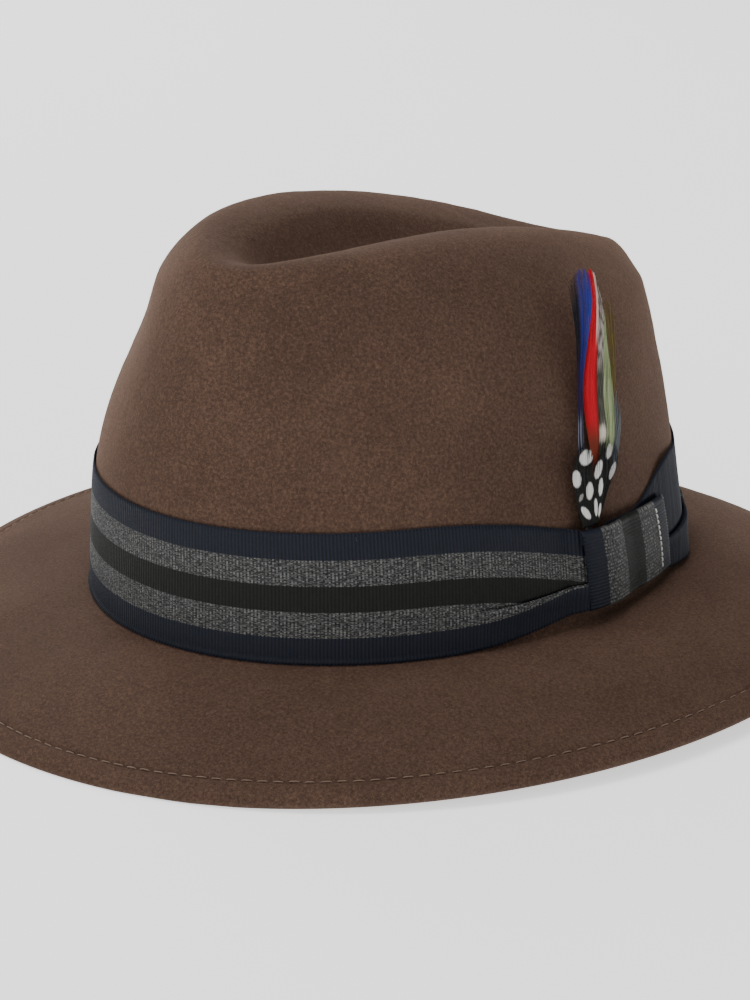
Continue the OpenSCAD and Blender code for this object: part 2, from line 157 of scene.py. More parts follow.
def wall_point(t, z, off):
    t, z, off = np.broadcast_arrays(*[np.asarray(v, float) for v in (t, z, off)])
    u = np.interp(z / CROWN_H, [0, 0.205, 0.395, 0.605], [0, 1, 2, 3])
    p = crown_point(t, u) + off[..., None] * outward(t)
    p[..., 2] = z
    return p


def brim_reach(t):
    c, s = wave(t)
    return BRIM_SIDE * c**2 + np.where(s < 0, BRIM_FRONT, BRIM_BACK) * s**2


def brim_point(t, w):
    """w: 0 at the foot of the crown, 1 at the edge."""
    c, s = wave(t)
    drop = DROP_SIDE * c**2 + DROP_END * s**2
    reach = brim_reach(t)
    return np.stack([(HEAD_W / 2 + reach * w) * c, (HEAD_L / 2 + reach * w) * s,
                     -drop * (DROP_LINE * w + (1 - DROP_LINE) * w * w)], -1)


def brim_out(t, w):
    return unit(brim_point(t, w + 0.01) - brim_point(t, w - 0.01))


def brim_normal(t, w):
    return unit(np.cross(brim_out(t, w), brim_point(t + 1, w) - brim_point(t - 1, w)))


def brim_under(t, w, depth):
    return brim_point(t, w) - depth * brim_normal(t, w)


def from_edge(t, d):
    return 1 - d / brim_reach(t)


def break_point(t, a, depth):
    ca, sa = math.cos(math.radians(a)), math.sin(math.radians(a))
    return (brim_point(t, BREAK_R * (1 - ca) / brim_reach(t)) + UP * BREAK_R * (1 - sa)
            - depth * (ca * outward(t) + sa * UP))


def nose_point(t, b):
    w = from_edge(t, NOSE_R)
    cb, sb = math.cos(math.radians(b)), math.sin(math.radians(b))
    return brim_under(t, w, NOSE_R) + NOSE_R * (sb * brim_normal(t, w) + cb * brim_out(t, w))


def place(p):
    q = np.array(p, float)
    q[..., 1] += CROWN_Y
    q[..., 2] = np.maximum(q[..., 2] + BREAK_Z, 0)
    return q


def field(points, scale, octaves=2, shift=0.0):
    """Smooth repeatable unevenness at each point, about -1 to 1."""
    flat = points.reshape(-1, 3) * scale + shift
    out = np.fromiter((noise.fractal(Vector(p), 0.8, 2.0, octaves) for p in flat.tolist()), float, len(flat))
    return out.reshape(points.shape[:-1])


# ---- meshes
def grid_faces(nr, nc, wrap_r, wrap_c):
    """Quads of a grid of nr rows and nc columns, with the row and column of each corner."""
    nr_faces, nc_faces = nr - (not wrap_r), nc - (not wrap_c)
    r, c = np.divmod(np.arange(nr_faces * nc_faces), nc_faces)
    rows, cols = np.stack([r, r, r + 1, r + 1], 1), np.stack([c, c + 1, c + 1, c], 1)
    return (rows % nr) * nc + cols % nc, rows, cols


def make_object(name, verts, face_sets, slot, node, body="hat", corner_uv=None, colors=None):
    """A piece that rides on body and stands for a CAD node. verts are in millimetres."""
    me = bpy.data.meshes.new(name)
    loops = join([f.ravel() for f in face_sets]).astype(np.int32)
    sizes = join([np.full(len(f), f.shape[1]) for f in face_sets])
    starts = join([[0], np.cumsum(sizes)[:-1]]).astype(np.int32)
    me.vertices.add(len(verts))
    me.vertices.foreach_set("co", (verts * MM).astype(np.float32).ravel())
    me.loops.add(len(loops))
    me.loops.foreach_set("vertex_index", loops)
    me.polygons.add(len(sizes))
    me.polygons.foreach_set("loop_start", starts)
    me.update(calc_edges=True)
    if corner_uv is not None:
        me.uv_layers.new(name="mm").uv.foreach_set("vector", corner_uv.astype(np.float32).ravel())
    if colors is not None:
        c = np.ones((len(verts), 4), np.float32)
        c[:, :3] = colors
        me.color_attributes.new("tint", "FLOAT_COLOR", "POINT").data.foreach_set("color", c.ravel())
    bm = bmesh.new()
    bm.from_mesh(me)
    bmesh.ops.recalc_face_normals(bm, faces=bm.faces)
    bm.to_mesh(me)
    bm.free()
    me.polygons.foreach_set("use_smooth", np.ones(len(me.polygons), bool))
    me.materials.append(MATERIALS[slot])
    me.update()
    obj = bpy.data.objects.new(name, me)
    scene.collection.objects.link(obj)
    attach(obj, body)
    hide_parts(node)
    return obj


def ring_object(name, grid, slot, node, uv=None):
    """grid[row, column, xyz], closed in both directions. uv has one more row and column."""
    nr, nc = grid.shape[:2]
    faces, rows, cols = grid_faces(nr, nc, True, True)
    corner = None if uv is None else uv[rows, cols].reshape(-1, 2)
    return make_object(name, grid.reshape(-1, 3), [faces], slot, node, corner_uv=corner)


def strip_caps(nr, nc):
    """Quads that close both ends of a strip whose rows run up its front and back down its back."""
    return np.array([[r * nc + c, (r + 1) * nc + c, (nr - 2 - r) * nc + c, (nr - 1 - r) * nc + c]
                     for c in (0, nc - 1) for r in range(nr // 2 - 1)])


def end_caps(nr, nc):
    """The first and last row of a tube, each as one face."""
    return np.arange(nc)[None, ::-1], np.arange(nc)[None] + (nr - 1) * nc


def strip_object(name, grid, slot, node, uv=None):
    """grid[row, column, xyz]: outlines closed along the rows, one after another, capped at both ends."""
    nr, nc = grid.shape[:2]
    faces, rows, cols = grid_faces(nr, nc, True, False)
    caps = strip_caps(nr, nc)
    corner = None
    if uv is not None:
        corner = join([uv[rows, cols].reshape(-1, 2), np.zeros((4 * len(caps), 2))])
    return make_object(name, grid.reshape(-1, 3), [faces, caps], slot, node, corner_uv=corner)


def tubes(paths, wide, thin, side, sides=6):
    """Closed threads along paths[n, k, 3]. wide and thin [n, k] are half sizes along side[n, k, 3] and
    across it."""
    n, k = paths.shape[:2]
    along = unit(np.gradient(paths, axis=1))
    n1 = unit(side - np.sum(side * along, -1, keepdims=True) * along)
    n2 = np.cross(along, n1)
    a = np.arange(sides) / sides * TAU
    ring = (paths[:, :, None] + (wide[..., None] * np.cos(a))[..., None] * n1[:, :, None]
            + (thin[..., None] * np.sin(a))[..., None] * n2[:, :, None])
    verts = ring.reshape(-1, 3)
    i, j, s = np.meshgrid(np.arange(n), np.arange(k - 1), np.arange(sides), indexing="ij")
    at = lambda jj, ss: (i * k + jj) * sides + ss % sides
    quads = np.stack([at(j, s), at(j, s + 1), at(j + 1, s + 1), at(j + 1, s)], -1).reshape(-1, 4)
    first = np.arange(n)[:, None] * k * sides + np.arange(sides)[None]
    caps = join([first[:, ::-1], first + (k - 1) * sides])
    return verts, [quads, caps]


def stitches(name, centre, along, up, length, radius, lift, slot, node):
    """Short threads that rise out of the cloth and go back into it."""
    q = np.linspace(-1, 1, 7)[None, :, None]
    arch = (1 - q**4) * lift - 0.35 * radius * q**8
    paths = centre[:, None] + along[:, None] * q * length / 2 + up[:, None] * arch
    r = np.broadcast_to(radius * (0.45 + 0.55 * (1 - q[..., 0]**6)), paths.shape[:2])
    side = np.broadcast_to(np.cross(along, up)[:, None], paths.shape)
    verts, faces = tubes(paths, r, r, side)
    return make_object(name, verts, faces, slot, node)


# ---- materials
def srgb(*rgb):
    """A colour of 0 to 255 values, as linear red, green, blue and alpha."""
    return tuple(v / 255 / 12.92 if v <= 10 else ((v / 255 + 0.055) / 1.055) ** 2.4 for v in rgb) + (1.0,)


class Shader:
    def __init__(self, name):
        self.material = bpy.data.materials.new(name)
        self.material.use_nodes = True
        self.tree = self.material.node_tree
        self.tree.nodes.clear()
        out = self.tree.nodes.new("ShaderNodeOutputMaterial")
        self.bsdf = self.add("BsdfPrincipled")
        self.tree.links.new(self.bsdf.outputs[0], out.inputs["Surface"])

    def add(self, kind, inputs=None, **props):
        node = self.tree.nodes.new("ShaderNode" + kind)
        for key, value in props.items():
            setattr(node, key, value)
        for key, value in (inputs or {}).items():
            self.put(node.inputs[key], value)
        return node

    def put(self, socket, value):
        if isinstance(value, bpy.types.NodeSocket):
            self.tree.links.new(value, socket)
        else:
            socket.default_value = value

    def where(self, scale=1000.0):
        """Places on the piece: in millimetres at a scale of 1000."""
        coords = self.add("TexCoord").outputs["Object"]
        s = (scale,) * 3 if np.isscalar(scale) else scale
        return self.add("Mapping", {"Vector": coords, "Scale": s}).outputs[0]

    def noise(self, vector, scale, detail=2.0, rough=0.5, distort=0.0):
        return self.add("TexNoise", {"Vector": vector, "Scale": scale, "Detail": detail, "Roughness": rough,
                                     "Distortion": distort}).outputs[0]

    def math(self, op, a, b=0.0, c=0.0):
        node = self.add("Math", operation=op)
        for socket, value in zip(node.inputs, (a, b, c)):
            self.put(socket, value)
        return node.outputs[0]

    def ramp(self, value, stops, how="LINEAR"):
        node = self.add("ValToRGB", {"Fac": value})
        node.color_ramp.interpolation = how
        e = node.color_ramp.elements
        while len(e) < len(stops):
            e.new(0.5)
        for el, (pos, color) in zip(e, stops):
            el.position, el.color = pos, color
        return node.outputs[0]

    def greys(self, value, *stops):
        return self.ramp(value, [(pos, grey(level)) for pos, level in stops])

    def sum_of(self, a, share, b, other):
        """a times its share plus b times the other share."""
        return self.math("MULTIPLY_ADD", a, share, self.math("MULTIPLY", b, other))

    def mix(self, factor, a, b, how="MIX"):
        node = self.add("Mix", data_type="RGBA", blend_type=how)
        for socket, value in ((node.inputs[0], factor), (node.inputs[6], a), (node.inputs[7], b)):
            self.put(socket, value)
        return node.outputs[2]

    def bump(self, height, distance, strength):
        return self.add("Bump", {"Height": height, "Distance": distance, "Strength": strength}).outputs[0]

    def tint(self):
        return self.add("VertexColor", layer_name="tint").outputs["Color"]

    def set(self, **inputs):
        for key, value in inputs.items():
            self.put(self.bsdf.inputs[key.replace("_", " ")], value)
        return self.material


def grey(v):
    return (v, v, v, 1.0)


def felt_material():
    s = Shader("wool_felt")
    p = s.where()
    cloud = s.noise(p, 0.03, 3.0, 0.55)
    mottle = s.noise(p, 1.05, 4.0, 0.62)
    fibre = s.noise(p, 3.2, 3.0, 0.7, 1.2)
    value = s.math("MULTIPLY_ADD", cloud, 0.12, s.sum_of(mottle, 0.38, fibre, 0.5))
    base = s.ramp(value, [(0.36, srgb(50, 35, 28)), (0.5, srgb(76, 57, 47)), (0.64, srgb(108, 84, 71))])
    height = s.sum_of(mottle, 0.55, fibre, 0.45)
    # the tint attribute multiplies in the felt's painted highlight and painted shade
    return s.set(Base_Color=s.mix(1.0, base, s.tint(), "MULTIPLY"), Specular_IOR_Level=0.18,
                 Roughness=s.greys(mottle, (0.3, 0.86), (0.7, 0.97)), Sheen_Weight=0.27,
                 Sheen_Roughness=0.42, Sheen_Tint=srgb(182, 146, 122), Normal=s.bump(height, 0.0003, 0.6))


def ribbon_material():
    """Five stripes across the ribbon, painted shade in the valleys between its ribs and the light and dark
    dashes of the marled stripes.
    """
    s = Shader("striped_grosgrain")
    uv = s.add("SeparateXYZ", {"Vector": s.add("UVMap", uv_map="mm").outputs[0]})
    along, across = uv.outputs[0], uv.outputs[1]
    rib = s.math("FLOOR", s.math("ADD", s.math("DIVIDE", along, RIB / 2), 0.5))
    cell = s.add("CombineXYZ", {"X": s.math("MULTIPLY", rib, 7.31), "Y": s.math("MULTIPLY", across, 2.6),
                                "Z": s.math("MULTIPLY", rib, 3.17)})
    dash = s.noise(cell.outputs[0], 1.0, 2.0, 0.6)
    thread = s.add("CombineXYZ", {"X": s.math("MULTIPLY", along, 9.0), "Y": s.math("MULTIPLY", across, 1.3)})
    fine = s.noise(thread.outputs[0], 1.0, 2.0, 0.6)
    edge = s.math("MULTIPLY_ADD", s.math("SUBTRACT", fine, 0.5), 0.5, across)
    share = s.math("DIVIDE", edge, RIBBON_W)
    starts = (0.0, 0.2, 0.4, 0.6, 0.8)
    navy, marl, black = srgb(24, 29, 42), srgb(59, 59, 59), srgb(22, 25, 20)
    solid = s.ramp(share, list(zip(starts, (navy, marl, black, marl, navy))), "CONSTANT")
    is_marl = s.ramp(share, [(at, grey(k % 2)) for k, at in enumerate(starts)], "CONSTANT")
    light = s.greys(dash, (0.48, 0), (0.60, 1))
    color = s.mix(s.math("MULTIPLY", is_marl, light), solid, srgb(118, 118, 116))
    dark = s.greys(dash, (0.36, 1), (0.46, 0))
    color = s.mix(s.math("MULTIPLY", is_marl, dark), color, srgb(28, 29, 30))
    color = s.mix(0.55, color, s.greys(fine, (0.3, 0.62), (0.7, 1.0)), "MULTIPLY")
    # painted shade: darker in the valleys between the ribs
    crest = s.math("MULTIPLY_ADD", s.math("COSINE", s.math("MULTIPLY", along, TAU / RIB)), 0.5, 0.5)
    color = s.mix(0.7, color, s.greys(crest, (0.1, 0.2), (0.7, 1.0)), "MULTIPLY")
    return s.set(Base_Color=color, Roughness=s.greys(dash, (0.4, 0.52), (0.6, 0.66)),
                 Specular_IOR_Level=0.2, Sheen_Weight=0.04, Sheen_Roughness=0.4,
                 Sheen_Tint=srgb(190, 192, 200), Normal=s.bump(fine, 0.00006, 0.5))


def thread_material(name, color, second):
    s = Shader(name)
    p = s.where()
    twist = s.add("TexWave", {"Vector": p, "Scale": 1.6, "Distortion": 3.0, "Detail": 2.0,
                              "Detail Scale": 2.0}, bands_direction="DIAGONAL").outputs[0]
    fuzz = s.noise(p, 5.0, 3.0, 0.6)
    return s.set(Base_Color=s.mix(s.math("MULTIPLY", twist, fuzz), color, second), Sheen_Weight=0.2,
                 Roughness=s.greys(fuzz, (0.3, 0.55), (0.7, 0.8)), Normal=s.bump(twist, 0.00008, 0.7))


def leather_material(name, dark, light):
    s = Shader(name)
    p = s.where()
    cells = s.add("TexVoronoi", {"Vector": p, "Scale": 1.1, "Randomness": 1.0},
                  feature="DISTANCE_TO_EDGE").outputs[0]
    pore = s.noise(p, 2.4, 4.0, 0.6)
    cloud = s.noise(p, 0.05, 4.0, 0.6)
    color = s.ramp(s.sum_of(cloud, 0.7, pore, 0.3), [(0.35, dark), (0.62, light)])
    color = s.mix(s.greys(cells, (0.0, 0.5), (0.12, 0)), color, dark)
    height = s.sum_of(s.greys(cells, (0.0, 0), (0.2, 1)), 0.7, pore, 0.3)
    return s.set(Base_Color=color, Roughness=s.greys(cloud, (0.3, 0.38), (0.7, 0.55)),
                 Specular_IOR_Level=0.45, Coat_Weight=0.08, Coat_Roughness=0.35,
                 Normal=s.bump(height, 0.00018, 0.5))


def satin_material(name, dark, light, yarn=3.2):
    s = Shader(name)
    p = s.where()
    weave = s.add("TexWave", {"Vector": p, "Scale": yarn, "Distortion": 0.6, "Detail": 1.0},
                  bands_direction="Z").outputs[0]
    slub = s.noise(s.where((260.0, 260.0, 2400.0)), 1.0, 3.0, 0.6)
    cloud = s.noise(p, 0.04, 3.0, 0.5)
    color = s.ramp(s.sum_of(cloud, 0.6, slub, 0.4), [(0.35, dark), (0.65, light)])
    height = s.sum_of(weave, 0.5, slub, 0.5)
    return s.set(Base_Color=color, Roughness=s.greys(slub, (0.3, 0.34), (0.7, 0.48)), Sheen_Weight=0.25,
                 Sheen_Roughness=0.3, Anisotropic=0.4, Normal=s.bump(height, 0.00007, 0.5))


def plume_material(name):
    s = Shader(name)
    fine = s.noise(s.where(), 3.5, 3.0, 0.65)
    color = s.mix(0.5, s.tint(), s.greys(fine, (0.3, 0.55), (0.68, 1.0)), "MULTIPLY")
    return s.set(Base_Color=color, Roughness=s.greys(fine, (0.3, 0.5), (0.7, 0.68)),
                 Specular_IOR_Level=0.16, Normal=s.bump(fine, 0.00005, 0.4))


# The material of each slot
MATERIALS = {
    "brown_felt": felt_material(),
    "striped_ribbon": ribbon_material(),
    "edge_thread": thread_material("tan_thread", srgb(114, 91, 74), srgb(154, 129, 108)),
    "navy_thread": thread_material("navy_thread", srgb(13, 17, 28), srgb(22, 27, 40)),
    "pick_thread": thread_material("pale_thread", srgb(214, 211, 204), srgb(240, 238, 233)),
    "seam_thread": thread_material("seam_thread", srgb(150, 128, 100), srgb(196, 176, 146)),
    "binding_thread": thread_material("binding_thread", srgb(38, 32, 30), srgb(72, 62, 58)),
    "sweatband_leather": leather_material("sweatband_leather", srgb(58, 36, 24), srgb(96, 62, 42)),
    "reed_leather": leather_material("reed_leather", srgb(44, 28, 20), srgb(72, 47, 33)),
    "lining_satin": satin_material("lining_satin", srgb(62, 50, 43), srgb(92, 77, 67)),
    "bow_ribbon": satin_material("bow_ribbon", srgb(30, 24, 22), srgb(56, 46, 42), 5.0),
    "tag_cloth": satin_material("tag_cloth", srgb(188, 180, 164), srgb(220, 214, 200), 5.0)}
for plume in ("teal", "olive", "green", "grizzly", "red", "blue", "guinea"):
    MATERIALS[f"{plume}_plume"] = plume_material(f"{plume}_plume")


# ---- felt body
EDGE_SEAM = WELT_W - 1  # from the brim's edge to its stitching
EDGE_STITCHES = round(TAU * ((HEAD_W + HEAD_L) / 4 + BRIM_SIDE - EDGE_SEAM) / 4.7)


def felt_body():
    nc = 400
    t = angles(nc)
    outer_u = join([np.linspace(LAST, 2.2, 112)[:-1], np.linspace(2.2, 0.12, 15)])
    rows = outer_u[:, None]
    outer = crown_point(t[None], rows)
    fold = np.stack([break_point(t, a, 0) for a in (0, 22, 45, 67, 90)])
    q = join([np.linspace(0.035, 0.82, 30)[:-1], np.linspace(0.82, 0.999, 32)])
    ws = q[:, None] * from_edge(t, NOSE_R)[None]
    brim = brim_point(t[None], ws)
    nose = np.stack([nose_point(t, b) for b in range(72, -73, -18)])
    under_d = np.array([NOSE_R, 3.2, 4.4, 5.6, 6.6, 7.2, EDGE_SEAM, 7.8, WELT_W - 0.15])
    under_w = np.stack([from_edge(t, d) for d in under_d])
    welt = brim_under(t[None], under_w, FELT + WELT_T)
    step = np.stack([brim_under(t, from_edge(t, WELT_W + 0.1), FELT + WELT_T * 0.6),
                     brim_under(t, from_edge(t, WELT_W + 0.25), FELT + 0.05)])
    under_q = np.linspace(0.8, 0.04, 26)
    below_w = under_q[:, None] * np.ones(nc)[None]
    below = brim_under(t[None], below_w, FELT)
    inner_fold = np.stack([break_point(t, a, FELT) for a in (90, 60, 30, 0)])
    inner_u = join([np.linspace(0.15, 8, 44), [8.5, LAST]])
    inner = crown_inside(t[None], inner_u[:, None], FELT)

    # the felt isn't dead even: slow waves on the brim and soft dimples on the crown, none under the band
    along = crown_point(t[None] + 0.5, rows) - crown_point(t[None] - 0.5, rows)
    up = (crown_point(t[None], np.minimum(rows + 0.05, LAST))
          - crown_point(t[None], np.maximum(rows - 0.05, 0)))
    calm = ease((rows - 2.05) / 0.8) * ease((LAST - rows) / 0.8)
    soft = 0.55 * field(outer, 0.022, 2) + 0.10 * field(outer, 0.16, 2, 31.0)
    outer = outer + (calm * soft)[..., None] * unit(np.cross(along, up))
    fade = (ease((q - 0.05) / 0.3) * ease((1 - q) / 0.12))[:, None]
    lift = 0.5 * field(brim, 0.02, 2, 9.0) + 0.07 * field(brim, 0.15, 2, 50.0)
    # each stitch pulls a little more at the groove on top and the swelling of the welt below
    tug = 0.8 + 0.35 * (0.5 - 0.5 * np.cos(t / 360 * EDGE_STITCHES * TAU))[None]
    d = (1 - ws) * brim_reach(t)[None]
    groove = 0.16 * bell(d, 5.6, 1.3) + 0.10 * bell(d, 9.6, 1.4) - 0.42 * bell(d, EDGE_SEAM, 0.65)
    brim = brim + (fade * lift + groove * tug)[..., None] * brim_normal(t[None], ws)
    swelling = 0.35 * bell(under_d, EDGE_SEAM, 0.6)[:, None] * tug
    welt = welt - swelling[..., None] * brim_normal(t[None], under_w)
    fade_under = (ease((under_q - 0.05) / 0.3) * ease((1 - under_q) / 0.3))[:, None]
    lift_under = fade_under * 0.5 * field(below, 0.02, 2, 9.0)
    below = below + lift_under[..., None] * brim_normal(t[None], below_w)

    grid = place(join([outer, fold, brim, nose, welt, step, below, inner_fold, inner]))
    nr = len(grid)
    # painted light and shade: a painted highlight along the ridge and near the edge, where the felt also
    # wears a little lighter, and painted shade in the dent, in the groove and round the edge itself
    tint = np.ones((nr, nc, 3))
    tint[:len(outer)] += (0.10 * bell(rows, 5.95, 0.35) - 0.05 * bell(rows, 8.2, 1.2))[..., None]
    a = len(outer) + len(fold)
    b = a + len(brim)
    tint[a:b] += (0.10 * bell(d, 0, 4.0) - 0.08 * bell(d, EDGE_SEAM, 0.6))[..., None]
    # painted shade, deepening round the edge towards its underside
    tint[b:b + len(nose)] -= np.linspace(0, 0.3, len(nose))[:, None, None]
    tint *= np.array([1.0, 0.995, 0.985])
    top = place(np.array([[0, 0, RINGS[LAST][3] * CROWN_H]]))
    n, k = nr * nc, np.arange(nc)
    fan_top = np.stack([np.full(nc, n), k, (k + 1) % nc], 1)
    fan_low = np.stack([np.full(nc, n + 1), (nr - 1) * nc + (k + 1) % nc, (nr - 1) * nc + k], 1)
    verts = join([grid.reshape(-1, 3), top, top - [0, 0, FELT]])
    # the two middle points are a little darker, in step with the painted shade in the dent
    colors = join([tint.reshape(-1, 3), np.full((2, 3), 0.96)])
    faces = [grid_faces(nr, nc, False, True)[0], fan_top, fan_low]
    return make_object("felt_hood", verts, faces, "brown_felt", "felt_body", colors=colors)


def edge_stitching():
    """Threads on both faces of the brim, those below half a step further round."""
    count = EDGE_STITCHES
    t = (np.arange(count) + 0.5) * 360.0 / count
    q = np.linspace(-1, 1, 9)[None]
    arch = (1 - q**4) * 0.34 - 0.12
    rng = np.random.default_rng(11)
    parts, faces, base = [], [], 0
    for face, shift, depth in ((1, 0, 0.30), (-1, 180 / count, FELT + WELT_T - 0.25)):
        w = from_edge(t, EDGE_SEAM + rng.uniform(-0.12, 0.12, count))
        n = brim_normal(t + shift, w)
        centre = place(brim_under(t + shift, w, depth))
        along = unit(brim_point(t + shift + 0.5, w) - brim_point(t + shift - 0.5, w))
        reach = q * 3.1 * rng.uniform(0.92, 1.06, count)[:, None] / 2
        paths = centre[:, None] + along[:, None] * reach[..., None] + face * n[:, None] * arch[..., None]
        r = np.broadcast_to(0.19 * (0.5 + 0.5 * (1 - q**6)), paths.shape[:2])
        verts, sets = tubes(paths, r, r * 0.8, np.broadcast_to(np.cross(along, n)[:, None], paths.shape))
        parts.append(verts)
        faces += [f + base for f in sets]
        base += len(verts)
    verts = join(parts)
    verts[:, 2] = np.maximum(verts[:, 2], 0.02)
    return make_object("brim_edge_stitches", verts, faces, "edge_thread", "brim_edge_stitching")


# ---- ribbon band
# By angle: heights of the ribbon's lower edge, its upper edge and the crease where it is folded
LOW = [(-50, 0.25), (-38, 0.25), (-31, 0.4), (-23, 1.6), (-15, 3.5), (-9, 4.9), (-6, 5.6), (2, 5.7),
       (10, 4.8), (18, 3.2), (25, 1.8), (34, 0.8), (46, 0.25)]
TOP = [(-46, 40.4), (-38, 40.4), (-33, 40.0), (-27, 38.9), (-21, 37.0), (-16, 34.8), (-11, 32.2),
       (-7, 30.5), (-3, 29.7), (4, 28.9), (9, 28.9), (13, 30.7), (16, 32.8), (20, 36.0), (25, 37.8),
       (29, 37.2), (36, 35.6), (46, 34.8), (60, 36.8), (75, 39.4), (90, 40.4)]
CREASE = [(-46, 14.2), (-36, 13.4), (-28, 12.2), (-20, 10.6), (-12, 9.3), (-6, 8.8), (12, 9.0), (22, 10.5),
          (34, 13.0)]
SHEET = 0.36  # thickness of the ribbon
STEPS = 425  # fine steps across the ribbon
KEEPER_FROM, KEEPER_SPAN, KEEPER_RIBS = -7.4, 27.8, 31


def signed(t):
    return (np.asarray(t, float) + 180) % 360 - 180


def pocket(t):
    """How far the ribbon stands off round the quills."""
    return 2.55 * ease(1 - (gap(t, -4.6) - 2.2) / 3.4)


def fan(t, share):
    """How far the ribbon stands off behind the keeper; share is 0 at its lower edge and 1 at its upper."""
    low = 3.1 * ease(1 - gap(t, 31) / 13) * np.clip(1 - share, 0, 1) ** 1.1
    return low + 0.9 * ease(1 - gap(t, 24) / 9) * share


def band_edges(t):
    """Lower edge, upper edge, crease and how much of the ribbon lies hidden in each layer of the fold."""
    low, top, crease = (spline(signed(t), table) for table in (LOW, TOP, CREASE))
    return low, top, crease, np.maximum((RIBBON_W - (top - low)) / 2, 0)


def band_section(t, v):
    """Ribbon at angles t [n], at distances v [n, m] from its lower edge: height, distance from the felt and
    the two parts of its normal, away from the felt and up."""
    low, top, a, hidden = (edge[:, None] for edge in band_edges(t))
    b, middle = a + hidden, a + hidden / 2
    full = ease(hidden / 1.6)
    r = 0.85
    fine = np.linspace(0, RIBBON_W, STEPS + 1)[None]
    first, second = (ease((fine - at + r) / (2 * r)) for at in (a, b))
    slope = 1 - 2 * (first - second)
    climb = np.cumsum((slope[:, 1:] + slope[:, :-1]) / 2, 1) * (RIBBON_W / STEPS)
    rise = join([np.zeros_like(low), climb], 1)
    deep = (0.62 * full * (2 - first - second) + 0.55 * full * bell(fine - a, -1.6, 3.2) * (fine < middle)
            + 0.35 * full * ease((hidden - 1) / 5) * bell(fine - b, 8, 4.5) * (fine > middle))
    index = v / RIBBON_W * STEPS
    i = np.clip(np.floor(index).astype(int), 0, STEPS - 1)
    f = index - i
    take = lambda g: np.take_along_axis(g, i, 1) * (1 - f) + np.take_along_axis(g, i + 1, 1) * f
    z, deep = low + take(rise), take(deep)
    share = (z - low) / np.maximum(top - low, 1)
    flare = BREAK_R * (1 - np.sqrt(np.clip(1 - np.clip(1 - z / BREAK_R, 0, 1) ** 2, 0, 1)))
    off = 0.42 + SHEET / 2 + pocket(t)[:, None] + fan(t[:, None], share) + deep + flare
    dz, dd = np.gradient(z, axis=1), np.gradient(deep, axis=1)
    length = np.maximum(np.hypot(dz, dd), 1e-6)
    return z, off, dz / length, -dd / length


def hat_band():
    probe = np.linspace(-180, 180, 3601)
    line = wall_point(probe, 22.0, 0.6)
    arc = join([[0], np.cumsum(np.linalg.norm(np.diff(line, axis=0), axis=1))])
    nc = 4 * round(arc[-1] / RIB)
    t = np.interp(np.arange(nc) / nc * arc[-1], arc, probe)
    _, _, a, hidden = band_edges(t)
    n, r = 43, 0.95
    share = np.linspace(0, 1, n)
    # more points where the ribbon turns back on itself
    knots_v = np.stack([0 * a, a - r, a + r, a + np.maximum(hidden - r, r * 1.02),
                        a + np.maximum(hidden + r, 2.2 * r), 0 * a + RIBBON_W], 1)
    knots_k = np.array([0, 11, 17, 20, 26, n - 1]) / (n - 1)
    folded = np.stack([np.interp(share, knots_k, knots) for knots in knots_v])
    part = ease(hidden / 1.5)[:, None]
    v = np.maximum.accumulate(share * RIBBON_W * (1 - part) + folded * part, axis=1)
    back = np.arange(0, n, 3)
    z, off, n_out, n_up = band_section(t, v)
    rib = np.cos(np.arange(nc) / 4 * TAU)[:, None]
    swell = 0.11 * rib * (1 - bell(v, 0, 0.5) * 0.3)
    half = SHEET / 2
    front_d, front_z = off + n_out * (half + swell), z + n_up * (half + swell)
    back_d, back_z = off - n_out * (half + 0.5 * swell), z - n_up * (half + 0.5 * swell)
    for heights in (front_z, back_z):
        heights[:, 0] -= 0.10 * rib[:, 0]
        heights[:, -1] += 0.10 * rib[:, 0]
    both = lambda front, rear: join([front, rear[:, back][:, ::-1]], 1).T
    vv = both(v, v)
    grid = place(wall_point(t[None], both(front_z, back_z), both(front_d, back_d)))
    uv = np.zeros((len(vv) + 1, nc + 1, 2))
    uv[..., 0] = np.arange(nc + 1) * RIB / 4
    # behind the keeper the ribbon takes the colour of its navy edge all across: painted shade where the
    # marled stripe lies in shadow
    s = signed(t)
    navy = ease((50 - s) / 9) * ease((s - 2) / 10)
    vv = vv + (0.92 * RIBBON_W - vv) * navy[None]
    uv[:-1, :-1, 1] = vv
    uv[-1, :-1, 1] = vv[0]
    uv[:, -1, 1] = uv[:, 0, 1]
    return ring_object("ribbon_band", grid, "striped_ribbon", "hat_band", uv), arc[-1]


def band_tacks():
    t = np.arange(60.0, 311.0, 50.0)
    z = np.array([35.2, 38.8, 38.8, 38.8, 38.8, 38.8])
    centre = place(wall_point(t, z, 0.92))
    up = outward(t)
    along = unit(np.cross(up, UP) * 0.25 + UP)
    return stitches("band_tack_threads", centre, along, up, 1.3, 0.14, 0.12, "navy_thread", "hat_band_tacks")


def keeper_face(t):
    """Lower edge, upper edge and distance from the felt of the keeper's front."""
    s = (signed(t) - KEEPER_FROM) / KEEPER_SPAN
    over_quills = 2.55 * ease(1 - (gap(t, -5) - 3.2) / 8.5)
    off = over_quills + 2.62 + 0.5 * np.sin(np.clip(s, 0, 1) * math.pi) + 0.5 * s
    return 5.2 - 1.7 * s, 30.7 - 2.2 * s, off


def keeper_puff(share, s):
    """How far the keeper's front bulges: share is the height and s the place along it, both 0 to 1."""
    return 0.45 * np.sin(share * math.pi) * (0.55 + 0.45 * np.sin(s * math.pi))


